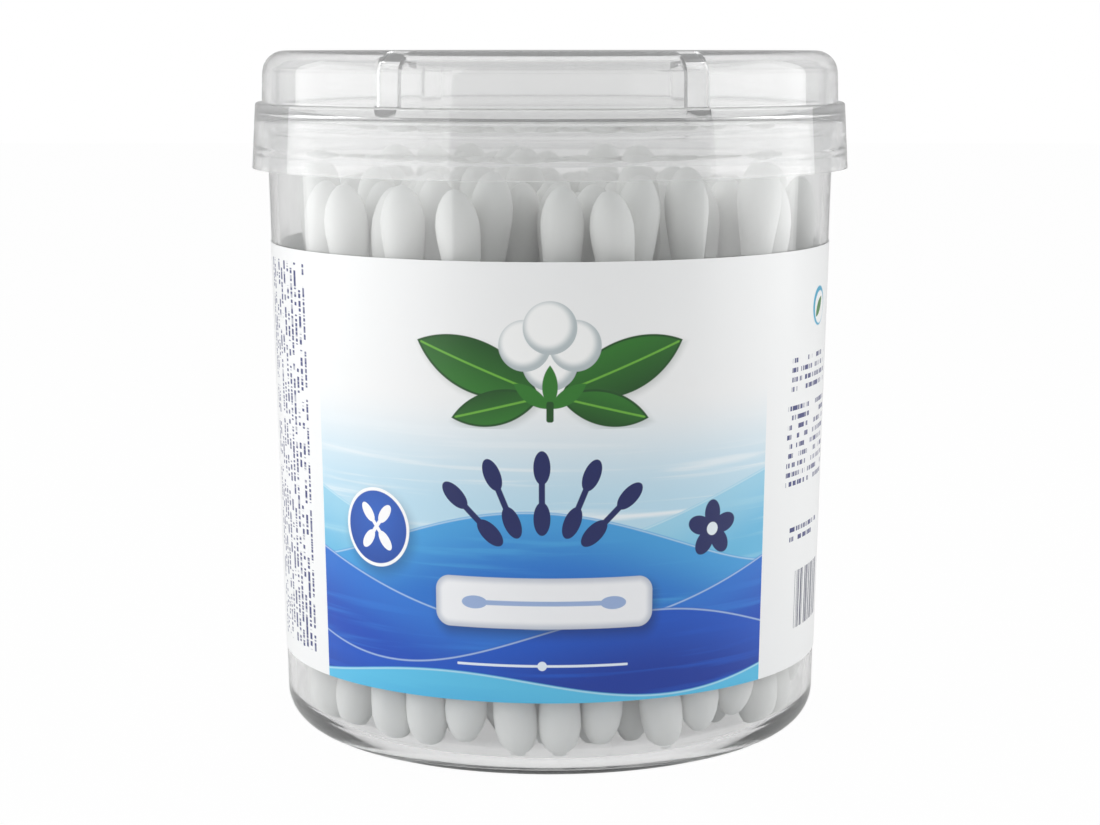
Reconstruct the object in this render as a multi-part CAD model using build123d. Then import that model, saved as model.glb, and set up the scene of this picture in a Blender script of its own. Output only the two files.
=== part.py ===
from build123d import *
import math
import os
import random

import numpy as np

# A round tub of cotton swabs with a snap-on lid and a wrap label, in millimetres.
# The origin is the centre of the base on the table, +Z is up, and the label's front faces -Y.

# Swabs
swab_length = 73.0
stick_diameter = 2.3
tip_diameter = 5.3
tip_length = 15.5
tip_dome = 2.45  # radius of the tip's round end
tip_widest_at = 5.5  # from the end of the swab
tip_neck_diameter = 2.9  # where the cotton runs out on the stick
tip_glue_gap = 0.02  # around the stick inside the cotton
tip_beyond_stick = 1.5  # cotton beyond the end of the stick

# How the swabs stand in the tub
ring_names = ["outer_ring", "second_ring", "third_ring", "fourth_ring", "fifth_ring", "centre"]
room_between_rings = 1.0  # besides the tips' own width
room_along_ring = 0.85
swab_gap = 0.25  # least room between two swabs, or a swab and the wall
resting_height = 0.1  # of the other swabs above the floor
raised_share = 0.35  # of the swabs, held up by their neighbours
largest_raise = 4.2
largest_lean = 9.0  # of a swab's top to one side of its foot, along its ring
lowest_level = 0.3  # of the heights at which swabs are kept apart
levels_at_an_end = 14  # of those heights, over the length of a tip
levels_between = 9  # and along the sticks
outline_steps = 400  # along a swab, where its width is known
most_rounds = 4000  # of pushing swabs apart
least_distance = 1e-6  # taken between two swabs, so that a push has a direction
arrangement = 13  # another number stands the swabs another way

# Tub
foot_radius = 36.3  # of the wall's outside, carried down to the table
wall_draft = 1.3  # degrees, the tub widening upwards
tub_wall = 1.1
base_thickness = 1.1
base_corner = 4.5
foot_height = 0.6
foot_width = 2.0
rim_above_swabs = 8.4  # from the tops of the standing swabs to the rim
rim_round = 0.4
snap_bead_drop = 0.7  # from the rim down to the bead
snap_bead_height = 2.2
snap_bead_bulge = 0.3

# Lid
lid_wall = 1.1
crown_height = 6.8  # from the ledge to the top
crown_shoulder = 3.0
crown_lean = 0.2  # the crown's wall leans in by this much
ledge_width = 0.9
ledge_thickness = 1.3
ledge_round = 0.4
skirt_height = 8.7  # from the ledge to the lower edge
skirt_flare = 0.5
catch_fit = 0.35  # between the tub's snap bead and the lid's catch
catch_bulge = 0.25
catch_height = 1.4
catch_above_edge = 1.6
rib_count = 6
rib_width = 3.0
rib_depth = 0.7
rib_reach = 5.0  # from the crown's outside in towards the middle
rib_turn = -1.6  # degrees, of the whole set of ribs

# Label
label_thickness = 0.1
label_above_table = 10.4
label_below_skirt = 9.85
label_seam = 0.6  # gap between its two ends, at the back

# Heights, radii and distances that follow from them
ring_step = tip_diameter + room_between_rings
swab_spacing = tip_diameter + room_along_ring
swab_rise = swab_length - 2 * tip_widest_at  # between the widest places of its two tips
floor_top = foot_height + base_thickness
rim_top = floor_top + swab_length + rim_above_swabs
ledge_top = rim_top + ledge_thickness
lid_top = ledge_top + crown_height
skirt_bottom = ledge_top - skirt_height


def outer_radius(z):
    # the tub's outside at a height
    return foot_radius + z * math.tan(math.radians(wall_draft))


def inner_radius(z):
    return outer_radius(z) - tub_wall


def room_radius(z):
    # the tub's inside at a height, with the round between its wall and its floor
    corner = base_corner - tub_wall
    below = max(0.0, floor_top + corner - z)
    return inner_radius(z) - corner + math.sqrt(max(0.0, corner**2 - below**2))


snap_bead_radius = outer_radius(rim_top) + snap_bead_bulge
catch_radius = snap_bead_radius + catch_fit
skirt_radius = catch_radius + catch_bulge + lid_wall  # outside, at its lower edge
crown_radius = skirt_radius - skirt_flare - ledge_width  # outside, at the ledge


def skirt_inside(z):
    return skirt_radius - skirt_flare * (z - skirt_bottom) / skirt_height - lid_wall


def turned(outline, rounded):
    # The solid that a closed outline of (radius, height) points sweeps around Z. Each corner
    # point named in rounded gets the fillet radius beside it.
    face = make_face(Polyline(*outline, close=True))
    for corner, radius in rounded:
        face = fillet(face.vertices().sort_by_distance(corner)[0], radius)
    return revolve(Plane.XZ * face, Axis.Z)


def ring_bead(low, high, crest_radius, wall_radius):
    # A round-backed bead on a wall, from one height to another.
    start = (wall_radius(low), low)
    end = (wall_radius(high), high)
    crest = (crest_radius, (low + high) / 2)
    outline = Curve() + [ThreePointArc(start, crest, end), Line(end, start)]
    return revolve(Plane.XZ * make_face(outline), Axis.Z)


def make_tub():
    foot_outside = foot_radius - base_corner
    foot_inside = foot_outside - foot_width
    outside_corner = (outer_radius(0), 0)
    inside_corner = (inner_radius(floor_top), floor_top)
    inner_rim = (inner_radius(rim_top), rim_top)
    outline = [
        (0, foot_height),
        (foot_inside - foot_height, foot_height),
        (foot_inside, 0),
        outside_corner,
        (outer_radius(rim_top), rim_top),
        inner_rim,
        inside_corner,
        (0, floor_top),
    ]
    corners = [
        (outside_corner, base_corner),
        (inside_corner, base_corner - tub_wall),
        (inner_rim, rim_round),
    ]
    bead_top = rim_top - snap_bead_drop
    bead = ring_bead(bead_top - snap_bead_height, bead_top, snap_bead_radius, outer_radius)
    return turned(outline, corners) + bead


def make_lid():
    crown_top_radius = crown_radius - crown_lean
    shoulder = (crown_top_radius, lid_top)
    inner_shoulder = (crown_top_radius - lid_wall, lid_top - lid_wall)
    ledge_edge = (skirt_radius - skirt_flare, ledge_top)
    outline = [
        (0, lid_top),
        shoulder,
        (crown_radius, ledge_top),
        ledge_edge,
        (skirt_radius, skirt_bottom),
        (skirt_inside(skirt_bottom), skirt_bottom),
        (skirt_inside(rim_top), rim_top),
        (crown_radius - lid_wall, rim_top),
        inner_shoulder,
        (0, lid_top - lid_wall),
    ]
    corners = [
        (shoulder, crown_shoulder),
        (inner_shoulder, crown_shoulder - lid_wall),
        (ledge_edge, ledge_round),
    ]
    catch_low = skirt_bottom + catch_above_edge
    catch = ring_bead(catch_low, catch_low + catch_height, catch_radius, skirt_inside)
    return turned(outline, corners) + catch + make_ribs()


def crown_plug(depth):
    # What the crown would hold, with its surface at a depth inside the crown's outside.
    top_corner = (crown_radius - crown_lean - depth, lid_top - depth)
    outline = [
        (0, ledge_top),
        (crown_radius - depth, ledge_top),
        top_corner,
        (0, lid_top - depth),
    ]
    return turned(outline, [(top_corner, crown_shoulder - depth)])


def make_ribs():
    # Stiffening ribs that follow the inside of the crown from the ledge over the shoulder.
    band = crown_plug(lid_wall / 2) - crown_plug(lid_wall + rib_depth)
    bar = Box(
        rib_reach,
        rib_width,
        crown_height,
        align=(Align.MAX, Align.CENTER, Align.MIN),
    )
    bar = Pos(crown_radius, 0, ledge_top) * bar
    turns = [rib_turn + 360 / rib_count * i for i in range(rib_count)]
    return Part() + [band & (Rot(Z=turn) * bar) for turn in turns]


def make_label():
    low = label_above_table
    high = skirt_bottom - label_below_skirt
    outline = [
        (outer_radius(low), low),
        (outer_radius(low) + label_thickness, low),
        (outer_radius(high) + label_thickness, high),
        (outer_radius(high), high),
    ]
    sleeve = turned(outline, [])
    seam = Box(label_seam, 2 * foot_radius, high, align=(Align.CENTER, Align.MIN, Align.MIN))
    return sleeve - seam


def tip_radius(along):
    # Half the width of a wound cotton tip, at a distance along it from the swab's end.
    if along < tip_dome:
        return math.sqrt(max(0.0, tip_dome**2 - (tip_dome - along) ** 2))
    if along < tip_widest_at:
        share = (along - tip_dome) / (tip_widest_at - tip_dome)
        return tip_dome + share * (tip_diameter / 2 - tip_dome)
    share = (along - tip_widest_at) / (tip_length - tip_widest_at)
    return tip_diameter / 2 - share**2 * (tip_diameter - tip_neck_diameter) / 2


def make_tip():
    # One wound tip, its end at the origin and its stick leaving along +Z.
    bore = stick_diameter / 2 + tip_glue_gap
    neck = tip_neck_diameter / 2
    dome_middle = tip_dome * (1 - math.sqrt(0.5))
    taper_middle = (tip_widest_at + tip_length) / 2
    outline = Curve() + [
        ThreePointArc((0, 0), (tip_dome * math.sqrt(0.5), dome_middle), (tip_dome, tip_dome)),
        Line((tip_dome, tip_dome), (tip_diameter / 2, tip_widest_at)),
        ThreePointArc(
            (tip_diameter / 2, tip_widest_at),
            (tip_radius(taper_middle), taper_middle),
            (neck, tip_length),
        ),
        Polyline(
            (neck, tip_length),
            (bore, tip_length),
            (bore, tip_beyond_stick),
            (0, tip_beyond_stick),
            (0, 0),
        ),
    ]
    return revolve(Plane.XZ * make_face(outline), Axis.Z)


def make_stick():
    length = swab_length - 2 * tip_beyond_stick
    stick = Cylinder(stick_diameter / 2, length, align=(Align.CENTER, Align.CENTER, Align.MIN))
    return Pos(0, 0, tip_beyond_stick) * stick


def start_rings():
    # Each ring's swabs, evenly spaced around it: the ring number and the foot of each.
    rings = []
    feet = []
    outermost = inner_radius(floor_top + tip_widest_at) - tip_diameter / 2 - swab_gap
    for ring in range(len(ring_names)):
        radius = max(0.0, outermost - ring * ring_step)
        count = max(1, int(2 * math.pi * radius / swab_spacing))
        for i in range(count):
            angle = 2 * math.pi * (i + ring / 2) / count
            rings.append(ring)
            feet.append((radius * math.cos(angle), radius * math.sin(angle)))
    return rings, np.array(feet)


def swab_outline():
    # Half the width of a whole swab at even steps along it.
    along = np.linspace(0, swab_length, outline_steps)
    from_end = np.minimum(along, swab_length - along)
    widths = [tip_radius(end) if end < tip_length else stick_diameter / 2 for end in from_end]
    return along, np.array(widths)


def stand_swabs():
    """Where the swabs stand: ring numbers, feet, tops and how far each is raised.

    Their feet start in rings and their tops spread evenly over the mouth, leaning along the
    rings at random. They are pushed apart, and in from the wall, at many heights until none touch."""
    chance = random.Random(arrangement)
    rings, feet = start_rings()
    count = len(rings)
    order = sorted(range(count), key=lambda i: (-rings[i], chance.random()))
    mouth = inner_radius(floor_top + swab_length - tip_widest_at) - tip_diameter / 2 - swab_gap
    tops = np.zeros((count, 2))
    for rank, i in enumerate(order):
        radius = mouth * math.sqrt((rank + 0.5) / count)
        lean = largest_lean * chance.uniform(-1, 1) / max(radius, largest_lean)
        angle = math.atan2(feet[i][1], feet[i][0]) + lean
        tops[i] = (radius * math.cos(angle), radius * math.sin(angle))
    raised = np.array(
        [
            largest_raise * chance.random() if chance.random() < raised_share else resting_height
            for _ in range(count)
        ]
    )
    end_heights = np.linspace(lowest_level, tip_length + largest_raise, levels_at_an_end)
    top_heights = swab_length + largest_raise - end_heights
    stick_heights = np.linspace(end_heights[-1], top_heights[-1], levels_between + 2)[1:-1]
    heights = [*end_heights, *stick_heights, *top_heights]
    outline_along, outline_widths = swab_outline()
    first, second = np.triu_indices(count, 1)
    for _ in range(most_rounds):
        worst = 0.0
        for height in heights:
            above = height - raised - tip_widest_at
            share = (above / swab_rise)[:, None]
            upright = swab_rise / np.hypot(swab_rise, np.hypot(*(tops - feet).T))
            along = tip_widest_at + above / upright
            width = np.interp(along, outline_along, outline_widths, left=0, right=0) / upright
            place = feet + share * (tops - feet)
            apart = place[first] - place[second]
            distance = np.maximum(np.hypot(apart[:, 0], apart[:, 1]), least_distance)
            short = np.maximum(width[first] + width[second] + swab_gap - distance, 0)
            short[(width[first] == 0) | (width[second] == 0)] = 0
            push = apart / distance[:, None] * (short / 2)[:, None]
            move = np.zeros_like(place)
            np.add.at(move, first, push)
            np.add.at(move, second, -push)
            out = np.hypot(place[:, 0], place[:, 1])
            room = room_radius(floor_top + height) - width - swab_gap
            beyond = np.where(width > 0, np.maximum(out - room, 0), 0)
            move -= place / np.maximum(out, least_distance)[:, None] * beyond[:, None]
            worst = max(worst, float(short.max()), float(beyond.max()))
            weight = np.clip(share, 0, 1)
            norm = weight**2 + (1 - weight) ** 2
            feet = feet + move * (1 - weight) / norm
            tops = tops + move * weight / norm
        if worst < swab_gap / 4:
            break
    print("swabs", count, "largest push left over", round(worst, 4))
    return rings, feet, tops, raised


def swab_places():
    # A location for each swab, its foot at the origin of that location, with its ring number.
    rings, feet, tops, raised = stand_swabs()
    low = tip_widest_at
    for ring, foot, top, lift in zip(rings, feet, tops, raised):
        direction = Vector(top[0] - foot[0], top[1] - foot[1], swab_rise).normalized()
        at_widest = Vector(foot[0], foot[1], floor_top + lift + low)
        yield ring, Plane(origin=at_widest - direction * low, z_dir=direction).location


def write(name, shapes):
    export_step(Compound(children=shapes) if len(shapes) > 1 else shapes[0], f"parts/{name}.step")


os.makedirs("parts", exist_ok=True)
write("tub", [make_tub()])
write("lid", [make_lid()])
write("label", [make_label()])

stick = make_stick()
lower_tip = make_tip()
upper_tip = Pos(0, 0, swab_length) * Rot(X=180) * make_tip()
sticks = [[] for _ in ring_names]
lower_tips = [[] for _ in ring_names]
upper_tips = [[] for _ in ring_names]
for ring, place in swab_places():
    sticks[ring].append(place * stick)
    lower_tips[ring].append(place * lower_tip)
    upper_tips[ring].append(place * upper_tip)
for ring, name in enumerate(ring_names):
    write(f"{name}_sticks", sticks[ring])
    write(f"{name}_lower_tips", lower_tips[ring])
    write(f"{name}_upper_tips", upper_tips[ring])
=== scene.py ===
import bpy
import math
import random
from mathutils import Matrix, Vector


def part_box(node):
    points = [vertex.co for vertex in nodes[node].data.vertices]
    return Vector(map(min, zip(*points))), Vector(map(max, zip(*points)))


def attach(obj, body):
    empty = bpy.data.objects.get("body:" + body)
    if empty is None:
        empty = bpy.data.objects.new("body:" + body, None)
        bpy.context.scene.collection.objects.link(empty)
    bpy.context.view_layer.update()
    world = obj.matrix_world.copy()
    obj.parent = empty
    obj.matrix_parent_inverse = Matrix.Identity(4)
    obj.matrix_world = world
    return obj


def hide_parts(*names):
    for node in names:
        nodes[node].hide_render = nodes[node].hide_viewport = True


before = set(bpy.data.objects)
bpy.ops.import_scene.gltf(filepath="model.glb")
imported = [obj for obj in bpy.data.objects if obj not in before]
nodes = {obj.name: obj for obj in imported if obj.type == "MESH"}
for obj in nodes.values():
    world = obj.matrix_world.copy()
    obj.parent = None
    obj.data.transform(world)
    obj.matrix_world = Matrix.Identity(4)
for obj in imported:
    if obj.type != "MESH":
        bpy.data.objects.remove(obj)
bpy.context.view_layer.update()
print("frame loaded:", len(nodes), "nodes")

mm = 0.001
ringNames = ["outer_ring", "second_ring", "third_ring", "fourth_ring", "fifth_ring", "centre"]
spinning = {
    "cutTurn": 7,  # degrees, where a cross-section is taken
    "steps": 256,
    "labelSteps": 240,
    "joinWithin": 0.002,  # mm
    "flatWithin": 0.5,  # degrees
    "sharpFrom": 30,
}


# helpers

def linear(hexColour):
    # sRGB hex to the linear colour that shaders take
    values = [int(hexColour[i:i + 2], 16) / 255 for i in (1, 3, 5)]
    return [v / 12.92 if v < 0.04045 else ((v + 0.055) / 1.055) ** 2.4 for v in values] + [1.0]


def addNode(tree, kind, inputs=None, **settings):
    # one node with its settings; an input is a value or another node's output
    node = tree.nodes.new("ShaderNode" + kind)
    for name, value in settings.items():
        setattr(node, name, value)
    for name, value in (inputs or {}).items():
        if isinstance(value, bpy.types.NodeSocket):
            tree.links.new(value, node.inputs[name])
        else:
            node.inputs[name].default_value = value
    return node


def newMaterial(name):
    material = bpy.data.materials.new(name)
    material.use_nodes = True
    tree = material.node_tree
    tree.nodes.clear()
    return material, tree, tree.nodes.new("ShaderNodeOutputMaterial")


def selectOnly(*pieces):
    if bpy.context.object and bpy.context.object.mode != "OBJECT":
        bpy.ops.object.mode_set(mode="OBJECT")
    bpy.ops.object.select_all(action="DESELECT")
    for piece in pieces:
        piece.select_set(True)
    if pieces:
        bpy.context.view_layer.objects.active = pieces[0]


def selectVertices(piece, wanted):
    # in edit mode, selects the vertices whose place passes the test
    bpy.ops.mesh.select_mode(type="VERT")
    bpy.ops.mesh.select_all(action="DESELECT")
    bpy.ops.object.mode_set(mode="OBJECT")
    for vertex in piece.data.vertices:
        vertex.select = wanted(vertex.co)
    bpy.ops.object.mode_set(mode="EDIT")


def mergedCopy(node, name):
    # a loose copy of a CAD node, with its triangles joined up
    piece = nodes[node].copy()
    piece.data = nodes[node].data.copy()
    for key in list(piece.keys()):
        del piece[key]
    piece.name = name
    piece.parent = None
    piece.data.materials.clear()
    bpy.context.scene.collection.objects.link(piece)
    selectOnly(piece)
    bpy.ops.object.mode_set(mode="EDIT")
    bpy.ops.mesh.select_all(action="SELECT")
    bpy.ops.mesh.remove_doubles(threshold=spinning["joinWithin"] / 2 * mm)
    bpy.ops.object.mode_set(mode="OBJECT")
    return piece


def smoothFinish(piece):
    selectOnly(piece)
    bpy.ops.object.shade_smooth_by_angle(angle=math.radians(spinning["sharpFrom"]))
    weighted = piece.modifiers.new("weighted", "WEIGHTED_NORMAL")
    weighted.keep_sharp = True
    weighted.weight = 50
    bpy.ops.object.modifier_apply(modifier="weighted")


def spunFrom(node, name, cutDegrees, steps, sweep=360):
    # the cross-section of a turned CAD node, spun into a smooth wall of even steps
    piece = mergedCopy(node, name)
    cutTurn = math.radians(cutDegrees)
    outward = Vector((math.cos(cutTurn), math.sin(cutTurn), 0))
    across = Vector((-outward.y, outward.x, 0))
    bpy.ops.object.mode_set(mode="EDIT")
    bpy.ops.mesh.select_all(action="SELECT")
    bpy.ops.mesh.bisect(plane_co=(0, 0, 0), plane_no=across, clear_inner=True, clear_outer=True)
    bpy.ops.mesh.select_all(action="SELECT")
    bpy.ops.mesh.bisect(plane_co=(0, 0, 0), plane_no=outward, clear_inner=True)
    bpy.ops.mesh.select_all(action="SELECT")
    bpy.ops.mesh.remove_doubles(threshold=spinning["joinWithin"] * mm)
    bpy.ops.mesh.dissolve_limited(angle_limit=math.radians(spinning["flatWithin"]))
    bpy.ops.mesh.select_all(action="SELECT")
    bpy.ops.mesh.spin(steps=steps, angle=math.radians(sweep), center=(0, 0, 0), axis=(0, 0, 1))
    bpy.ops.mesh.select_all(action="SELECT")
    bpy.ops.mesh.remove_doubles(threshold=spinning["joinWithin"] * mm)
    bpy.ops.mesh.select_all(action="SELECT")
    bpy.ops.mesh.normals_make_consistent(inside=False)
    bpy.ops.object.mode_set(mode="OBJECT")
    return piece


# tub and lid

tubPlastic = {
    "tint": "#F6F6F6",
    "ior": 1.49,  # polypropylene
    "roughness": 0.035,
    "clearShare": 0.95,  # the rest is the milkiness of natural polypropylene
    "letThrough": "#F6F7F7",  # light that passes a wall to reach the swabs
    "flowSize": 9.0,  # mm, of the faint waves a mould leaves in a wall
    "flowDepth": 0.004,  # mm
}
lidPlastic = {
    "tint": "#F4F4F4",
    "ior": 1.49,
    "roughness": 0.05,
    "clearShare": 0.87,
    "letThrough": "#F3F4F4",
    "flowSize": 12.0,
    "flowDepth": 0.004,
}


def makeClearPlastic(name, look):
    # natural polypropylene, injection moulded: glossy, clear but a little milky, with faint flow waves
    material, tree, output = newMaterial(name)
    place = addNode(tree, "TexCoord").outputs["Object"]
    flow = addNode(tree, "TexNoise", {"Vector": place, "Scale": 1 / (look["flowSize"] * mm), "Detail": 2.0})
    bump = addNode(
        tree, "Bump",
        {"Height": flow.outputs["Fac"], "Distance": look["flowDepth"] * mm, "Strength": 1.0},
    )
    shiny = addNode(
        tree, "BsdfPrincipled",
        {
            "Base Color": linear(look["tint"]),
            "Roughness": look["roughness"],
            "IOR": look["ior"],
            "Transmission Weight": look["clearShare"],
            "Normal": bump.outputs["Normal"],
        },
    )
    passing = addNode(tree, "BsdfTransparent", {"Color": linear(look["letThrough"])})
    ray = addNode(tree, "LightPath")
    either = addNode(
        tree, "Math",
        {0: ray.outputs["Is Shadow Ray"], 1: ray.outputs["Is Diffuse Ray"]},
        operation="MAXIMUM",
    )
    mix = addNode(tree, "MixShader", {0: either.outputs[0], 1: shiny.outputs[0], 2: passing.outputs[0]})
    tree.links.new(mix.outputs[0], output.inputs["Surface"])
    return material


lidShape = {
    "ribs": 6,
    "firstRib": -1.6,  # degrees
    "ribWidth": 3.0,  # mm
    "ribDepth": 0.7,
    "ribReach": 5.0,  # from the crown's outside in towards the middle
    "wall": 1.1,
    "shoulder": 3.0,
    "skirt": 8.7,  # height of the ledge above the lid's lower edge
    "ledge": 1.4,  # from the skirt's outside in to the crown
    "lean": 0.2,  # of the crown's wall, inwards
    "band": 0.3,  # between the shoulder and the flat of the top
}


def makeTub(material):
    piece = spunFrom("tub", "clearTub", spinning["cutTurn"], spinning["steps"])
    smoothFinish(piece)
    piece.data.materials.append(material)
    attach(piece, "tub")
    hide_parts("tub")
    return piece


def shoulderBlock(inner, outer, low, high, width, shoulder):
    # a block from one radius to another, rounded over its outer upper edge
    place = Vector(((inner + outer) / 2, 0, (low + high) / 2))
    bpy.ops.mesh.primitive_cube_add(size=1, location=place)
    block = bpy.context.object
    block.scale = (outer - inner, width, high - low)
    bpy.ops.object.transform_apply(location=True, rotation=False, scale=True)
    bpy.ops.object.mode_set(mode="EDIT")
    bpy.ops.mesh.select_mode(type="EDGE")
    bpy.ops.mesh.select_all(action="DESELECT")
    bpy.ops.object.mode_set(mode="OBJECT")
    for edge in block.data.edges:
        ends = [block.data.vertices[v].co for v in edge.vertices]
        edge.select = all(co.x > place.x and co.z > place.z for co in ends)
    bpy.ops.object.mode_set(mode="EDIT")
    bpy.ops.mesh.bevel(offset=shoulder, segments=8)
    bpy.ops.object.mode_set(mode="OBJECT")
    return block


def combine(piece, other, operation):
    selectOnly(piece)
    modifier = piece.modifiers.new("combine", "BOOLEAN")
    modifier.operation = operation
    modifier.solver = "EXACT"
    modifier.object = other
    bpy.ops.object.modifier_apply(modifier="combine")
    bpy.data.objects.remove(other)


def makeRib(turn, crown, ledge, top):
    # follows the inside of the crown's wall up and over the shoulder
    wall, depth, width, reach, shoulder = (
        lidShape[key] * mm for key in ("wall", "ribDepth", "ribWidth", "ribReach", "shoulder")
    )
    inside = wall + depth
    rib = shoulderBlock(crown - reach, crown - wall / 2, ledge, top - wall / 2, width, shoulder - wall / 2)
    hollow = shoulderBlock(
        crown - 2 * reach, crown - inside, ledge - inside, top - inside, 2 * width, shoulder - inside
    )
    combine(rib, hollow, "DIFFERENCE")
    rib.rotation_euler.z = turn
    selectOnly(rib)
    bpy.ops.object.transform_apply(location=False, rotation=True, scale=False)
    return rib


def flattenTop(piece, above):
    # the top's flat becomes one face above and one below, each with a narrow band round it
    bpy.ops.object.mode_set(mode="EDIT")
    bpy.ops.mesh.select_mode(type="FACE")
    bpy.ops.mesh.select_all(action="DESELECT")
    bpy.ops.object.mode_set(mode="OBJECT")
    for face in piece.data.polygons:
        face.select = abs(face.normal.z) > 0.9999 and face.center.z > above
    bpy.ops.object.mode_set(mode="EDIT")
    bpy.ops.mesh.dissolve_faces()
    bpy.ops.mesh.inset(thickness=lidShape["band"] * mm)
    bpy.ops.object.mode_set(mode="OBJECT")


def makeLid(material):
    piece = spunFrom("lid", "clearLid", spinning["cutTurn"], spinning["steps"])
    low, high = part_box("lid")
    # the crown's radius where its leaning wall meets the shoulder
    crown = high.x - (lidShape["ledge"] + lidShape["lean"]) * mm
    ledge = low.z + lidShape["skirt"] * mm
    flattenTop(piece, (ledge + high.z) / 2)
    for i in range(lidShape["ribs"]):
        turn = math.radians(lidShape["firstRib"] + 360 / lidShape["ribs"] * i)
        combine(piece, makeRib(turn, crown, ledge, high.z), "UNION")
    smoothFinish(piece)
    piece.data.materials.append(material)
    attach(piece, "lid")
    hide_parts("lid")
    return piece


tub = makeTub(makeClearPlastic("clearTubPlastic", tubPlastic))
lid = makeLid(makeClearPlastic("milkyLidPlastic", lidPlastic))
print("tub and lid made:", len(tub.data.polygons), len(lid.data.polygons), "faces")


# swabs

cotton = {
    "colour": "#F7F7F5",
    "shade": "#ECECEA",
    "roughness": 0.9,
    "sheen": 0.25,
    "shine": 0.2,
    "fibre": 0.36,  # mm, a tuft of fibres
    "fibreDepth": 0.03,
    "wound": 2.6,  # how much finer the fibres lie along the tip than round it
    "lumpSize": 1.6,
    "lumpDepth": 0.10,
}
tipShape = {
    "length": 15.5,  # mm
    "cover": 1.5,  # of cotton beyond the stick's end
    "radius": 2.7,
    "widestAt": 5.2,
    "neck": 1.3,
    "taper": 1.8,
    "unevenness": 0.035,  # of the radius
    "swells": 9,  # radians of it along a tip
    "kinds": 3,  # different tips, dealt out at random
    "narrowest": 0.96,  # of the full width
    "fineMesh": (20, 14),  # faces round and along it
    "plainMesh": (12, 9),
    "fineRings": 2,  # the outer rings, the only ones seen well
    "seed": 5,
}
paperStick = {
    "colour": "#F4F4F1",
    "roughness": 0.6,
    "grain": 0.36,  # mm
    "grainDepth": 0.01,
    "grainStretch": 0.08,
    "radius": 1.15,
    "length": 70.0,
}


def makeCotton():
    # cotton wound wet on the stick and dried: matt white, soft-edged, with fine fibres lying across it
    material, tree, output = newMaterial("woundCotton")
    place = addNode(tree, "TexCoord").outputs["Object"]
    lean = addNode(tree, "Mapping", {"Vector": place, "Scale": (1, 1, cotton["wound"])})
    fibres = addNode(
        tree, "TexNoise",
        {
            "Vector": lean.outputs[0],
            "Scale": 1 / (cotton["fibre"] * mm),
            "Detail": 5.0,
            "Roughness": 0.7,
        },
    )
    lumps = addNode(
        tree, "TexNoise", {"Vector": place, "Scale": 1 / (cotton["lumpSize"] * mm), "Detail": 2.0}
    )
    lumpBump = addNode(
        tree, "Bump",
        {"Height": lumps.outputs["Fac"], "Distance": cotton["lumpDepth"] * mm, "Strength": 0.6},
    )
    fibreBump = addNode(
        tree, "Bump",
        {
            "Height": fibres.outputs["Fac"],
            "Distance": cotton["fibreDepth"] * mm,
            "Strength": 0.7,
            "Normal": lumpBump.outputs["Normal"],
        },
    )
    colour = addNode(
        tree, "Mix",
        {0: fibres.outputs["Fac"], 6: linear(cotton["shade"]), 7: linear(cotton["colour"])},
        data_type="RGBA",
    )
    surface = addNode(
        tree, "BsdfPrincipled",
        {
            "Base Color": colour.outputs[2],
            "Roughness": cotton["roughness"],
            "Sheen Weight": cotton["sheen"],
            "Specular IOR Level": cotton["shine"],
            "Normal": fibreBump.outputs["Normal"],
        },
    )
    tree.links.new(surface.outputs[0], output.inputs["Surface"])
    return material


def makePaper():
    # rolled white paper, pressed smooth: satin, with a faint long grain
    material, tree, output = newMaterial("rolledPaper")
    place = addNode(tree, "TexCoord").outputs["Object"]
    long = addNode(tree, "Mapping", {"Vector": place, "Scale": (1, 1, paperStick["grainStretch"])})
    grain = addNode(
        tree, "TexNoise",
        {"Vector": long.outputs[0], "Scale": 1 / (paperStick["grain"] * mm), "Detail": 3.0},
    )
    bump = addNode(
        tree, "Bump",
        {"Height": grain.outputs["Fac"], "Distance": paperStick["grainDepth"] * mm, "Strength": 0.5},
    )
    surface = addNode(
        tree, "BsdfPrincipled",
        {
            "Base Color": linear(paperStick["colour"]),
            "Roughness": paperStick["roughness"],
            "Normal": bump.outputs["Normal"],
        },
    )
    tree.links.new(surface.outputs[0], output.inputs["Surface"])
    return material


def tipRadius(along):
    # half the width of a wound tip at a distance from its end, in mm
    widest = tipShape["widestAt"]
    if along < widest:
        return tipShape["radius"] * math.sqrt(max(0.0, 1 - ((widest - along) / widest) ** 2))
    share = (along - widest) / (tipShape["length"] - widest)
    fall = tipShape["radius"] - tipShape["neck"]
    return tipShape["neck"] + fall * (1 - share ** tipShape["taper"])


def makeTipModel(around, rings, chance):
    # a sphere drawn out to the tip's length, then each ring of points sized to the wound outline
    length = tipShape["length"] * mm
    bpy.ops.mesh.primitive_uv_sphere_add(
        segments=around, ring_count=rings, radius=length / 2, location=(0, 0, length / 2)
    )
    tip = bpy.context.object
    bpy.ops.object.transform_apply(location=True, rotation=False, scale=False)
    levels = sorted({round(v.co.z, 7) for v in tip.data.vertices})[1:-1]
    starts = [chance.uniform(0, math.tau) for _ in range(2)]
    for level in levels:
        before = math.sqrt((length / 2) ** 2 - (level - length / 2) ** 2)
        after = tipRadius(level / mm) * mm
        swell = tipShape["swells"] * level / length
        uneven = [1 + tipShape["unevenness"] * math.sin(start + swell) for start in starts]
        bpy.ops.object.mode_set(mode="EDIT")
        selectVertices(tip, lambda co: abs(co.z - level) < 1e-6)
        bpy.ops.transform.resize(
            value=(after / before * uneven[0], after / before * uneven[1], 1),
            center_override=(0, 0, level),
        )
        bpy.ops.object.mode_set(mode="OBJECT")
    bpy.ops.object.shade_smooth()
    return tip


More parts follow.
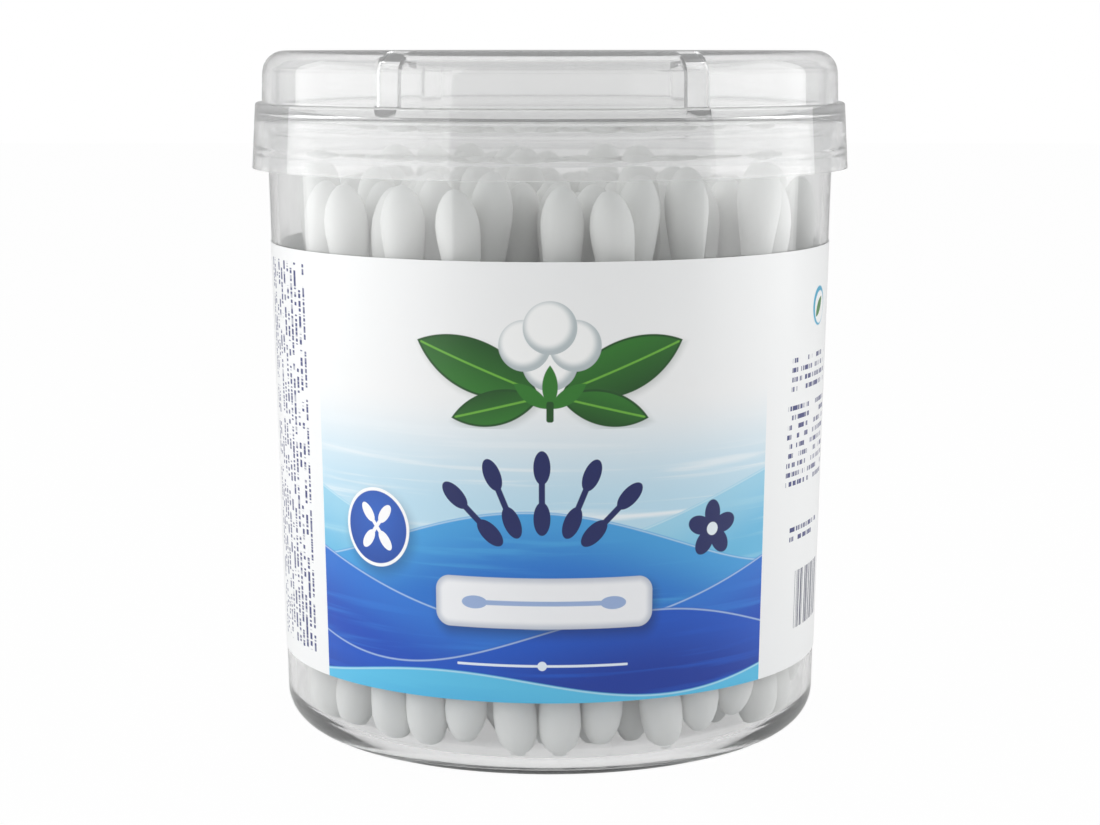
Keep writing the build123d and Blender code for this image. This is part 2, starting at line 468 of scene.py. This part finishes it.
def makeStickModel():
    length = paperStick["length"] * mm
    bpy.ops.mesh.primitive_cylinder_add(
        vertices=16, radius=paperStick["radius"] * mm, depth=length, location=(0, 0, length / 2)
    )
    bpy.ops.object.transform_apply(location=True, rotation=False, scale=False)
    bpy.ops.object.shade_smooth_by_angle(angle=math.radians(40))
    return bpy.context.object


def stickLines(node):
    # the two ends of every stick in a CAD node, read from its own solids
    selectOnly(mergedCopy(node, "reading"))
    bpy.ops.mesh.separate(type="LOOSE")
    parts = list(bpy.context.selected_objects)
    lines = []
    for part in parts:
        points = [v.co for v in part.data.vertices]
        middle = sum(p.z for p in points) / len(points)
        halves = [[p for p in points if p.z < middle], [p for p in points if p.z > middle]]
        lines.append([sum(half, Vector()) / len(half) for half in halves])
    for part in parts:
        bpy.data.objects.remove(part)
    return lines


def placed(model, foot, direction, spin=0.0, width=1.0):
    # a copy of a model with its own mesh, standing at foot and pointing along direction
    piece = model.copy()
    piece.data = model.data.copy()
    bpy.context.scene.collection.objects.link(piece)
    turn = direction.to_track_quat("Z", "Y").to_matrix().to_4x4() @ Matrix.Rotation(spin, 4, "Z")
    piece.data.transform(Matrix.Translation(foot) @ turn @ Matrix.Diagonal((width, width, 1, 1)))
    return piece


def joined(pieces, name, material):
    selectOnly(*pieces)
    bpy.ops.object.join()
    piece = bpy.context.object
    piece.name = name
    piece.data.materials.clear()
    piece.data.materials.append(material)
    return piece


def makeSwabs():
    chance = random.Random(tipShape["seed"])
    cottonMaterial = makeCotton()
    paperMaterial = makePaper()
    stickModel = makeStickModel()
    fineTips = [makeTipModel(*tipShape["fineMesh"], chance) for _ in range(tipShape["kinds"])]
    plainTips = [makeTipModel(*tipShape["plainMesh"], chance) for _ in range(tipShape["kinds"])]
    cover = tipShape["cover"] * mm
    for ringNumber, ring in enumerate(ringNames):
        tipModels = fineTips if ringNumber < tipShape["fineRings"] else plainTips
        sticks, lowerTips, upperTips = [], [], []
        for foot, head in stickLines(ring + "_sticks"):
            up = (head - foot).normalized()
            sticks.append(placed(stickModel, foot, up))
            for tips, end, inward in ((lowerTips, foot, up), (upperTips, head, -up)):
                spin = chance.uniform(0, math.tau)
                width = chance.uniform(tipShape["narrowest"], 1.0)
                tips.append(placed(chance.choice(tipModels), end - inward * cover, inward, spin, width))
        for pieces, kind, material, slotName in (
            (sticks, "sticks", paperMaterial, "paper_stick"),
            (lowerTips, "lower_tips", cottonMaterial, "cotton"),
            (upperTips, "upper_tips", cottonMaterial, "cotton"),
        ):
            piece = joined(pieces, f"{ring}_{kind}_look", material)
            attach(piece, "tub")
            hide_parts(f"{ring}_{kind}")
    for model in (stickModel, *fineTips, *plainTips):
        bpy.data.objects.remove(model)


makeSwabs()
print("swabs made")


# label

film = {
    "white": "#F6F7F7",
    "roughness": 0.3,
    "coat": 0.06,
    "coatRoughness": 0.15,
    "radius": 37.3,  # mm, at which its drawing is laid out
    "seam": 0.92,  # degrees between its ends
}
# every place on the label is in mm, round the tub from the front and above the table
panel = {
    "middle": -1.4,
    "halfWidth": 32.4,
    "cut": 45.2,  # height between its two fields
    "skyTop": 50.0,  # where white begins to turn blue
    "paleSky": "#BFE1F2",
    "haze": "#F4FAFD",
    "hazeTurn": -24,  # degrees
    "hazeRange": (0.5, 0.75),
    "waves": [  # height, swell, length and start of each wave, with its two colours
        (34.5, 5.2, 95.0, 18.0, "#9FD6EE", "#6CBFE6"),
        (30.5, 4.4, 78.0, -22.0, "#46A2E0", "#2173CE"),
        (25.5, 5.4, 104.0, 26.0, "#2A76D4", "#0F4CBB"),
        (18.5, 3.6, 70.0, -4.0, "#1256C4", "#0A389F"),
        (12.6, 1.6, 58.0, 30.0, "#5CC3EA", "#38A3DC"),
    ],
    "waveDepth": 9.0,  # over which a wave darkens
    "crestLine": "#D9F0FA",
    "crestDrop": 0.18,
    "crestHalf": 0.1,
    "streakLength": 34.0,
    "streakWidth": 1.5,
    "streakTurn": 14.0,  # degrees
    "streakStep": 6,
    "streakRange": (0.52, 0.72),
    "rulePlace": (-1.0, 15.2),
    "ruleHalf": (11.0, 0.16),
    "ruleDot": (0.6, 0.6),
    "ruleColour": "#E8F2FC",
}
badge = {
    "place": (-23.6, 31.6),
    "radius": 5.1,
    "ring": 0.42,
    "colour": "#2C63C2",
    "dark": "#1D4BA4",
    "glowRise": 1.6,
    "glowReach": 6.0,
    "white": "#FFFFFF",
    "shadow": "#0D2350",
    "shadowShift": (0.5, -0.7),
    "swabTurns": (-38, 38),
    "swabRise": 0.1,
    "swabLength": 7.2,
    "swabSize": 0.62,
}
plate = {
    "place": (-0.8, 23.2),
    "half": (14.0, 3.25),
    "round": 1.9,
    "colour": "#F7F8FA",
    "edge": "#C9CED8",
    "edgeWidth": 0.55,
    "shadow": "#081A48",
    "shadowShift": (0.4, -0.8),
    "swab": "#9DB4DC",
    "swabLength": 21.0,
    "swabSize": 0.72,
}
swabSign = {"stick": 0.42, "tip": (1.15, 2.3), "end": 0.1}  # half sizes of a swab drawn flat
fan = {
    "colour": "#15215F",
    "place": (-1.0, 30.4),
    "turns": (56, 28, 0, -28, -56),
    "half": (10.6, 6.4),
    "rise": 0.4,
    "lean": 0.8,  # of each swab, to its turn round the fan
    "swabLength": 10.664,
    "swabSize": 0.92,
}
flower = {
    "place": (21.8, 31.6),
    "petals": 5,
    "firstTurn": 18,
    "reach": 2.0,
    "petal": (1.75, 1.2),
    "heart": (0.85, 0.85),
    "heartColour": "#EAF4FA",
}
sprig = {
    "place": (0, 54.4),
    "leaves": [  # foot, length, width and turn
        ((-1.5, -4.6), 16.5, 6.6, 158),
        ((1.5, -4.6), 16.5, 6.6, 22),
        ((-1.2, -5.2), 11.5, 4.4, 194),
        ((1.2, -5.2), 11.5, 4.4, -14),
    ],
    "leaf": "#2F7A26",
    "leafDark": "#184F19",
    "leafLight": "#6DB33C",
    "leafEdge": 0.28,
    "leafRib": 0.13,
    "shadow": "#5A6A5C",
    "shadowShift": (0.3, -0.4),
    "lobes": [((0, -1.0), 3.4), ((-3.1, 1.2), 3.2), ((3.1, 1.2), 3.2), ((0, 3.4), 3.3)],
    "lobeLit": (-0.25, 0.35),
    "lobeEdge": 0.5,
    "boll": "#FBFCFB",
    "shade": "#B9C3C6",
    "sepalFoot": -6.6,
    "sepal": (5.4, 1.9),
    "sepalTurns": (90, 35, 145),
    "stemFoot": -7.0,
    "stem": (0.45, 1.3),
}
smallPrint = {
    "ink": "#2A3273",
    "pitch": 1.25,
    "height": 0.62,
    "word": 2.1,
    "strokes": 6.0,  # to a word
    "leftPlace": (-43.6, 38.5),
    "leftHalf": (6.6, 25.6),
    "rightPlace": 43.6,
    "rightBlocks": [(49.6, (6.8, 2.3)), (40.4, (7.6, 5.4)), (28.4, (6.0, 1.2))],
    "roundPlace": (45.6, 58.0),
    "roundHalf": (2.6, 2.6),
    "roundColour": "#1FA3C9",
    "holePlace": (45.9, 57.8),
    "holeHalf": (2.15, 2.15),
    "leafFoot": (44.3, 56.6),
    "leafSize": (3.6, 1.5),
    "barsPlace": (45.2, 19.4),
    "barsHalf": (5.4, 3.9),
    "barsInk": "#1B2250",
    "barsScale": 2.2,
}


def shifted(place, shift):
    return place[0] + shift[0], place[1] + shift[1]


def offsetPlace(tree, place, centre, turn=0.0, stretch=(1, 1)):
    # the label's millimetres seen from a shape's own centre, turned and stretched with it
    return addNode(
        tree, "Mapping",
        {
            "Vector": place,
            "Location": (*centre, 0),
            "Rotation": (0, 0, math.radians(turn)),
            "Scale": (*stretch, 1),
        },
        vector_type="TEXTURE",
    ).outputs[0]


def barDistance(tree, place, centre, half, corner, turn=0.0):
    # distance in mm outside a bar with rounded corners
    own = offsetPlace(tree, place, centre, turn)
    size = addNode(tree, "VectorMath", {0: own}, operation="ABSOLUTE").outputs[0]
    core = (half[0] - corner, half[1] - corner, 0)
    beyond = addNode(tree, "VectorMath", {0: size, 1: core}, operation="SUBTRACT").outputs[0]
    beyond = addNode(tree, "VectorMath", {0: beyond, 1: (0, 0, 0)}, operation="MAXIMUM").outputs[0]
    length = addNode(tree, "VectorMath", {0: beyond}, operation="LENGTH").outputs["Value"]
    return addNode(tree, "Math", {0: length, 1: corner}, operation="SUBTRACT").outputs[0]


def discDistance(tree, place, centre, radius):
    return barDistance(tree, place, centre, (radius, radius), radius)


def ovalDistance(tree, place, centre, half, turn=0.0):
    # distance outside an oval, as a share of its half size
    own = offsetPlace(tree, place, centre, turn, half)
    length = addNode(tree, "VectorMath", {0: own}, operation="LENGTH").outputs["Value"]
    return addNode(tree, "Math", {0: length, 1: 1.0}, operation="SUBTRACT").outputs[0]


def leafDistance(tree, place, foot, length, width, turn):
    # a leaf is where two discs overlap, one to each side of its rib
    radius = (length ** 2 / 4 + width ** 2 / 4) / width
    own = offsetPlace(tree, place, foot, turn)
    sides = []
    for side in (-1, 1):
        centre = (length / 2, side * (radius - width / 2))
        away = addNode(tree, "VectorMath", {0: own, 1: (*centre, 0)}, operation="DISTANCE").outputs["Value"]
        sides.append(addNode(tree, "Math", {0: away, 1: radius}, operation="SUBTRACT").outputs[0])
    return addNode(tree, "Math", {0: sides[0], 1: sides[1]}, operation="MAXIMUM").outputs[0]


def printed(tree, under, distance, colour, soft=0.06, strength=1.0):
    # lays a colour, or another node's, over what is under it wherever the distance is below 0
    amount = addNode(
        tree, "MapRange",
        {"Value": distance, "From Min": -soft, "From Max": soft, "To Min": strength, "To Max": 0.0},
        interpolation_type="SMOOTHSTEP",
    ).outputs[0]
    ink = linear(colour) if isinstance(colour, str) else colour
    return addNode(tree, "Mix", {0: amount, 6: under, 7: ink}, data_type="RGBA").outputs[2]


def printedIn(tree, under, over, field):
    # like printed, where a field is already 0 to 1
    ink = linear(over) if isinstance(over, str) else over
    return addNode(tree, "Mix", {0: field, 6: under, 7: ink}, data_type="RGBA").outputs[2]


def printSwab(tree, under, place, centre, turn, length, colour, size=1.0):
    # a swab seen flat: a stick with an oval tip at each end
    angle = math.radians(turn)
    tipHalf = [v * size for v in swabSign["tip"]]
    under = printed(
        tree, under,
        barDistance(
            tree, place, centre,
            (swabSign["stick"] * size, length / 2 - tipHalf[1]), swabSign["end"], turn,
        ),
        colour,
    )
    for end in (-1, 1):
        reach = end * (length / 2 - tipHalf[1])
        tip = (centre[0] - math.sin(angle) * reach, centre[1] + math.cos(angle) * reach)
        under = printed(tree, under, ovalDistance(tree, place, tip, tipHalf, turn), colour, soft=0.03)
    return under


def makeStreaks(tree, place, turn, low, high):
    # long soft brush streaks, 0 to 1
    own = addNode(
        tree, "Mapping",
        {
            "Vector": place,
            "Rotation": (0, 0, math.radians(turn)),
            "Scale": (1 / panel["streakLength"], 1 / panel["streakWidth"], 1),
        },
    ).outputs[0]
    noise = addNode(tree, "TexNoise", {"Vector": own, "Scale": 1.0, "Detail": 3.0, "Distortion": 0.3})
    return addNode(
        tree, "MapRange",
        {"Value": noise.outputs["Fac"], "From Min": low, "From Max": high},
        interpolation_type="SMOOTHSTEP",
    ).outputs[0]


def printWaves(tree, under, place, along, height):
    for number, (level, swell, length, start, crestColour, deepColour) in enumerate(panel["waves"]):
        phase = addNode(
            tree, "Math",
            {0: along, 1: math.tau / length, 2: -start * math.tau / length},
            operation="MULTIPLY_ADD",
        ).outputs[0]
        sine = addNode(tree, "Math", {0: phase}, operation="SINE").outputs[0]
        crest = addNode(tree, "Math", {0: sine, 1: swell, 2: level}, operation="MULTIPLY_ADD").outputs[0]
        above = addNode(tree, "Math", {0: height, 1: crest}, operation="SUBTRACT").outputs[0]
        depth = addNode(
            tree, "MapRange",
            {"Value": above, "From Min": -panel["waveDepth"], "From Max": 0.0},
            interpolation_type="SMOOTHSTEP",
        ).outputs[0]
        turn = panel["streakTurn"] * (-1) ** number + panel["streakStep"] * number
        streaks = makeStreaks(tree, place, turn, *panel["streakRange"])
        body = addNode(
            tree, "Mix", {0: depth, 6: linear(deepColour), 7: linear(crestColour)}, data_type="RGBA"
        ).outputs[2]
        lit = printedIn(tree, body, crestColour, streaks)
        under = printed(tree, under, above, lit, soft=0.12)
        # a fine pale line runs along each crest
        line = addNode(tree, "Math", {0: above, 1: panel["crestDrop"]}, operation="ADD").outputs[0]
        line = addNode(tree, "Math", {0: line}, operation="ABSOLUTE").outputs[0]
        line = addNode(tree, "Math", {0: line, 1: panel["crestHalf"]}, operation="SUBTRACT").outputs[0]
        under = printed(tree, under, line, panel["crestLine"], soft=0.1, strength=0.55)
    return under


def printBadge(tree, under, place):
    # a blue disc in a white ring, with two crossed white swabs
    x, y = badge["place"]
    shadow = discDistance(tree, place, shifted((x, y), badge["shadowShift"]), badge["radius"])
    under = printed(tree, under, shadow, badge["shadow"], soft=1.5, strength=0.5)
    disc = discDistance(tree, place, (x, y), badge["radius"])
    under = printed(tree, under, disc, badge["white"])
    inside = addNode(tree, "Math", {0: disc, 1: badge["ring"]}, operation="ADD").outputs[0]
    glow = discDistance(tree, place, (x, y + badge["glowRise"]), 1.0)
    fall = addNode(
        tree, "MapRange", {"Value": glow, "From Min": 0.0, "From Max": badge["glowReach"]}
    ).outputs[0]
    face = addNode(
        tree, "Mix", {0: fall, 6: linear(badge["colour"]), 7: linear(badge["dark"])}, data_type="RGBA"
    ).outputs[2]
    under = printed(tree, under, inside, face)
    middle = (x, y + badge["swabRise"])
    for turn in badge["swabTurns"]:
        under = printSwab(
            tree, under, place, middle, turn, badge["swabLength"], badge["white"], badge["swabSize"]
        )
    return under


def printPlate(tree, under, place):
    # a white plate with a rounded edge and a soft shadow, left bare but for one pale swab
    shadowPlace = shifted(plate["place"], plate["shadowShift"])
    shadow = barDistance(tree, place, shadowPlace, plate["half"], plate["round"])
    under = printed(tree, under, shadow, plate["shadow"], soft=1.3, strength=0.62)
    face = barDistance(tree, place, plate["place"], plate["half"], plate["round"])
    under = printed(tree, under, face, plate["edge"])
    inner = addNode(tree, "Math", {0: face, 1: plate["edgeWidth"]}, operation="ADD").outputs[0]
    under = printed(tree, under, inner, plate["colour"], soft=0.5)
    return printSwab(
        tree, under, place, plate["place"], 90, plate["swabLength"], plate["swab"], plate["swabSize"]
    )


def printFan(tree, under, place):
    # five navy swabs spread like a fan
    x, y = fan["place"]
    for turn in fan["turns"]:
        angle = math.radians(turn)
        middle = (
            x - math.sin(angle) * fan["half"][0],
            y + fan["rise"] + math.cos(angle) * fan["half"][1],
        )
        under = printSwab(
            tree, under, place, middle, turn * fan["lean"],
            fan["swabLength"], fan["colour"], fan["swabSize"],
        )
    return under


def printFlower(tree, under, place):
    x, y = flower["place"]
    for i in range(flower["petals"]):
        turn = flower["firstTurn"] + 360 / flower["petals"] * i
        angle = math.radians(turn)
        middle = (x + flower["reach"] * math.cos(angle), y + flower["reach"] * math.sin(angle))
        petal = ovalDistance(tree, place, middle, flower["petal"], turn)
        under = printed(tree, under, petal, fan["colour"], soft=0.04)
    return printed(tree, under, ovalDistance(tree, place, (x, y), flower["heart"]), flower["heartColour"])


def printLeaf(tree, under, place, foot, length, width, turn):
    # a leaf with a darker edge, a lighter rib and a soft shadow
    leaf = leafDistance(tree, place, foot, length, width, turn)
    shadow = leafDistance(tree, place, shifted(foot, sprig["shadowShift"]), length, width, turn)
    under = printed(tree, under, shadow, sprig["shadow"], soft=0.8, strength=0.35)
    own = offsetPlace(tree, place, foot, turn)
    side = addNode(tree, "SeparateXYZ", {0: own}).outputs["Y"]
    across = addNode(
        tree, "MapRange", {"Value": side, "From Min": -width / 2, "From Max": width / 2}
    ).outputs[0]
    tone = addNode(
        tree, "Mix",
        {0: across, 6: linear(sprig["leafDark"]), 7: linear(sprig["leaf"])},
        data_type="RGBA",
    ).outputs[2]
    under = printed(tree, under, leaf, sprig["leafDark"])
    inner = addNode(tree, "Math", {0: leaf, 1: sprig["leafEdge"]}, operation="ADD").outputs[0]
    under = printed(tree, under, inner, tone)
    rib = addNode(tree, "Math", {0: side}, operation="ABSOLUTE").outputs[0]
    rib = addNode(tree, "Math", {0: rib, 1: sprig["leafRib"]}, operation="SUBTRACT").outputs[0]
    rib = addNode(tree, "Math", {0: rib, 1: inner}, operation="MAXIMUM").outputs[0]
    return printed(tree, under, rib, sprig["leafLight"], soft=0.08)


def printSprig(tree, under, place):
    # a cotton boll between green leaves
    middle = sprig["place"]
    for foot, length, width, turn in sprig["leaves"]:
        under = printLeaf(tree, under, place, shifted(middle, foot), length, width, turn)
    for shift, radius in sprig["lobes"]:
        centre = shifted(middle, shift)
        under = printed(tree, under, discDistance(tree, place, centre, radius), sprig["shade"])
        lit = discDistance(tree, place, shifted(centre, sprig["lobeLit"]), radius)
        lit = addNode(tree, "Math", {0: lit, 1: sprig["lobeEdge"]}, operation="ADD").outputs[0]
        under = printed(tree, under, lit, sprig["boll"], soft=0.55)
    for turn in sprig["sepalTurns"]:
        foot = shifted(middle, (0, sprig["sepalFoot"]))
        sepal = leafDistance(tree, place, foot, *sprig["sepal"], turn)
        under = printed(tree, under, sepal, sprig["leaf"])
    stemFoot = shifted(middle, (0, sprig["stemFoot"]))
    stem = barDistance(tree, place, stemFoot, sprig["stem"], 0.3)
    return printed(tree, under, stem, sprig["leafDark"])


def wordField(tree, across, down, box, seed):
    # rows of short dashes in place of small print: 1 on a dash and 0 off it
    pitch = smallPrint["pitch"]
    row = addNode(tree, "Math", {0: down, 1: pitch}, operation="DIVIDE").outputs[0]
    number = addNode(tree, "Math", {0: row}, operation="FLOOR").outputs[0]
    within = addNode(tree, "Math", {0: row}, operation="FRACT").outputs[0]
    inked = addNode(
        tree, "Math", {0: within, 1: smallPrint["height"] / pitch}, operation="LESS_THAN"
    ).outputs[0]
    along = addNode(tree, "Math", {0: across, 1: smallPrint["word"]}, operation="DIVIDE").outputs[0]
    both = addNode(tree, "CombineXYZ", {0: along, 1: number, 2: seed}).outputs[0]
    spread = addNode(tree, "VectorMath", {0: both, 1: (1.0, 7.3, 1.0)}, operation="MULTIPLY").outputs[0]
    words = addNode(tree, "TexNoise", {"Vector": spread, "Scale": 1.0, "Detail": 0.0}).outputs["Fac"]
    word = addNode(tree, "Math", {0: words, 1: 0.42}, operation="GREATER_THAN").outputs[0]
    letters = addNode(
        tree, "VectorMath", {0: both, 1: (smallPrint["strokes"], 7.3, 1.0)}, operation="MULTIPLY"
    ).outputs[0]
    strokes = addNode(tree, "TexNoise", {"Vector": letters, "Scale": 1.0, "Detail": 0.0}).outputs["Fac"]
    stroke = addNode(tree, "MapRange", {"Value": strokes, "From Min": 0.38, "From Max": 0.52}).outputs[0]
    result = addNode(tree, "Math", {0: inked, 1: word}, operation="MULTIPLY").outputs[0]
    result = addNode(tree, "Math", {0: result, 1: stroke}, operation="MULTIPLY").outputs[0]
    inside = addNode(tree, "Math", {0: box, 1: 0.0}, operation="LESS_THAN").outputs[0]
    return addNode(tree, "Math", {0: result, 1: inside}, operation="MULTIPLY").outputs[0]


def printSides(tree, under, place, along, height):
    # small print runs up the left side and across the right, with a row of plain bars below it
    ink = smallPrint["ink"]
    left = barDistance(tree, place, smallPrint["leftPlace"], smallPrint["leftHalf"], 0.1)
    under = printedIn(tree, under, ink, wordField(tree, height, along, left, 3.0))
    for level, half in smallPrint["rightBlocks"]:
        block = barDistance(tree, place, (smallPrint["rightPlace"], level), half, 0.1)
        under = printedIn(tree, under, ink, wordField(tree, along, height, block, level))
    # a green leaf in a blue ring
    ring = ovalDistance(tree, place, smallPrint["roundPlace"], smallPrint["roundHalf"])
    under = printed(tree, under, ring, smallPrint["roundColour"], soft=0.05)
    hole = ovalDistance(tree, place, smallPrint["holePlace"], smallPrint["holeHalf"])
    under = printed(tree, under, hole, film["white"], soft=0.05)
    leaf = leafDistance(tree, place, smallPrint["leafFoot"], *smallPrint["leafSize"], 45)
    under = printed(tree, under, leaf, sprig["leaf"], soft=0.05)
    bars = addNode(tree, "CombineXYZ", {0: along}).outputs[0]
    lines = addNode(
        tree, "TexNoise", {"Vector": bars, "Scale": smallPrint["barsScale"], "Detail": 2.0}
    ).outputs["Fac"]
    lines = addNode(tree, "Math", {0: lines, 1: 0.5}, operation="GREATER_THAN").outputs[0]
    barBox = barDistance(tree, place, smallPrint["barsPlace"], smallPrint["barsHalf"], 0.05)
    inside = addNode(tree, "Math", {0: barBox, 1: 0.0}, operation="LESS_THAN").outputs[0]
    bar = addNode(tree, "Math", {0: lines, 1: inside}, operation="MULTIPLY").outputs[0]
    return printedIn(tree, under, smallPrint["barsInk"], bar)


def drawSky(tree, place, height):
    # white above, turning to a pale hazy blue towards the waves
    sky = addNode(
        tree, "MapRange",
        {"Value": height, "From Min": panel["skyTop"], "From Max": panel["waves"][0][0]},
        interpolation_type="SMOOTHSTEP",
    ).outputs[0]
    front = addNode(
        tree, "Mix", {0: sky, 6: linear(film["white"]), 7: linear(panel["paleSky"])}, data_type="RGBA"
    ).outputs[2]
    haze = makeStreaks(tree, place, panel["hazeTurn"], *panel["hazeRange"])
    haze = addNode(tree, "Math", {0: haze, 1: sky}, operation="MULTIPLY").outputs[0]
    return printedIn(tree, front, panel["haze"], haze)


def drawUpperFront(tree, place, along, height):
    return printSprig(tree, drawSky(tree, place, height), place)


def drawLowerFront(tree, place, along, height):
    front = printWaves(tree, drawSky(tree, place, height), place, along, height)
    front = printFan(tree, front, place)
    front = printFlower(tree, front, place)
    front = printBadge(tree, front, place)
    front = printPlate(tree, front, place)
    rule = barDistance(tree, place, panel["rulePlace"], panel["ruleHalf"], 0.1)
    front = printed(tree, front, rule, panel["ruleColour"], soft=0.05)
    dot = ovalDistance(tree, place, panel["rulePlace"], panel["ruleDot"])
    return printed(tree, front, dot, panel["ruleColour"], soft=0.08)


def drawSides(tree, place, along, height):
    white = addNode(tree, "RGB")
    white.outputs[0].default_value = linear(film["white"])
    return printSides(tree, white.outputs[0], place, along, height)


def makeFilm(name, draw):
    # plastic film printed on its face and left glossy: even white and bright, soft-edged reflections
    material, tree, output = newMaterial(name)
    parts = addNode(tree, "SeparateXYZ", {0: addNode(tree, "TexCoord").outputs["Object"]})
    back = addNode(tree, "Math", {0: parts.outputs["Y"], 1: -1.0}, operation="MULTIPLY").outputs[0]
    angle = addNode(tree, "Math", {0: parts.outputs["X"], 1: back}, operation="ARCTAN2").outputs[0]
    along = addNode(tree, "Math", {0: angle, 1: film["radius"]}, operation="MULTIPLY").outputs[0]
    height = addNode(tree, "Math", {0: parts.outputs["Z"], 1: 1 / mm}, operation="MULTIPLY").outputs[0]
    place = addNode(tree, "CombineXYZ", {0: along, 1: height}).outputs[0]
    surface = addNode(
        tree, "BsdfPrincipled",
        {
            "Base Color": draw(tree, place, along, height),
            "Roughness": film["roughness"],
            "Coat Weight": film["coat"],
            "Coat Roughness": film["coatRoughness"],
        },
    )
    tree.links.new(surface.outputs[0], output.inputs["Surface"])
    return material


def makeLabel():
    # its ends nearly meet at the back, and the front panel's two fields are cut in as faces of their own
    seam = film["seam"]
    piece = spunFrom("label", "wrapLabel", 90 + seam / 2, spinning["labelSteps"], 360 - seam)
    middle, half = panel["middle"], panel["halfWidth"]
    bpy.ops.object.mode_set(mode="EDIT")
    for edge in (middle - half, middle + half):
        turn = edge / film["radius"]
        bpy.ops.mesh.select_all(action="SELECT")
        bpy.ops.mesh.bisect(plane_co=(0, 0, 0), plane_no=(math.cos(turn), math.sin(turn), 0))
    bpy.ops.mesh.select_all(action="SELECT")
    bpy.ops.mesh.bisect(plane_co=(0, 0, panel["cut"] * mm), plane_no=(0, 0, 1))
    bpy.ops.object.mode_set(mode="OBJECT")
    for name, draw in (
        ("printedSides", drawSides),
        ("printedFront", drawLowerFront),
        ("printedTop", drawUpperFront),
    ):
        piece.data.materials.append(makeFilm(name, draw))
    for face in piece.data.polygons:
        along = math.atan2(face.center.x, -face.center.y) * film["radius"]
        if abs(along - middle) < half:
            face.material_index = 2 if face.center.z > panel["cut"] * mm else 1
    smoothFinish(piece)
    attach(piece, "tub")
    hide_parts("label")
    return piece


makeLabel()
print("label printed")


# studio

studio = {
    "lens": 80.57,  # mm, on a 36 mm sensor
    "distance": 336.0,  # mm, from the tub's axis
    "height": 91.96,  # mm
    "pitch": 0.1483,  # radians, looking down
    "world": 0.5,
    "boxes": {  # place, size in mm, and power in W
        "softBoxLeft": ((-390, -98, 140), (670, 520), 1.7),
        "softBoxRight": ((400, -10, 140), (416, 520), 1.1),
    },
    "shadowKept": 0.02,  # of the floor's real shading that shows
    "floorThroughPlastic": 0.8,
    "floorGrey": "#F4F4F4",  # in its real shading
    "floorSize": 4,  # m
    "floorDrop": 0.05,  # mm
    "aim": (0, 0, 60),  # mm, of both boxes
    "clipStart": 10,
}


def addBox(name, place, aim, size, power):
    bpy.ops.object.light_add(type="AREA", location=[v * mm for v in place])
    light = bpy.context.object
    light.name = name
    light.data.shape = "RECTANGLE"
    light.data.size = size[0] * mm
    light.data.size_y = size[1] * mm
    light.data.energy = power
    toward = Vector([v * mm for v in aim]) - light.location
    light.rotation_euler = toward.to_track_quat("-Z", "Y").to_euler()
    return light


def makeStudio():
    bpy.ops.mesh.primitive_plane_add(size=studio["floorSize"], location=(0, 0, -studio["floorDrop"] * mm))
    floor = bpy.context.object
    floor.name = "studioFloor"
    material, tree, output = newMaterial("whiteFloor")
    ray = addNode(tree, "LightPath")
    lit = addNode(tree, "BsdfDiffuse", {"Color": linear(studio["floorGrey"])})
    glow = addNode(tree, "Emission", {"Color": (1, 1, 1, 1), "Strength": 1.0})
    direct = addNode(
        tree, "Math",
        {0: ray.outputs["Is Camera Ray"], 1: 1 - studio["shadowKept"]},
        operation="MULTIPLY",
    )
    part = addNode(
        tree, "Math",
        {0: ray.outputs["Is Transmission Ray"], 1: studio["floorThroughPlastic"], 2: direct.outputs[0]},
        operation="MULTIPLY_ADD",
    )
    mix = addNode(tree, "MixShader", {0: part.outputs[0], 1: lit.outputs[0], 2: glow.outputs[0]})
    tree.links.new(mix.outputs[0], output.inputs["Surface"])
    floor.data.materials.append(material)

    world = bpy.data.worlds.new("studioWorld")
    bpy.context.scene.world = world
    world.use_nodes = True
    tree = world.node_tree
    tree.nodes.clear()
    ray = addNode(tree, "LightPath")
    seen = addNode(
        tree, "Math",
        {0: ray.outputs["Is Camera Ray"], 1: ray.outputs["Is Transmission Ray"]},
        operation="MAXIMUM",
    )
    soft = addNode(tree, "Background", {"Color": (1, 1, 1, 1), "Strength": studio["world"]})
    white = addNode(tree, "Background", {"Color": (1, 1, 1, 1), "Strength": 1.0})
    mix = addNode(tree, "MixShader", {0: seen.outputs[0], 1: soft.outputs[0], 2: white.outputs[0]})
    output = tree.nodes.new("ShaderNodeOutputWorld")
    tree.links.new(mix.outputs[0], output.inputs["Surface"])

    for name, (place, size, power) in studio["boxes"].items():
        addBox(name, place, studio["aim"], size, power)

    bpy.ops.object.camera_add(
        location=(0, -studio["distance"] * mm, studio["height"] * mm),
        rotation=(math.pi / 2 - studio["pitch"], 0, 0),
    )
    camera = bpy.context.object
    camera.name = "studioCamera"
    camera.data.lens = studio["lens"]
    camera.data.clip_start = studio["clipStart"] * mm
    bpy.context.scene.camera = camera
    bpy.context.scene.view_settings.view_transform = "Standard"


makeStudio()
print("studio made")
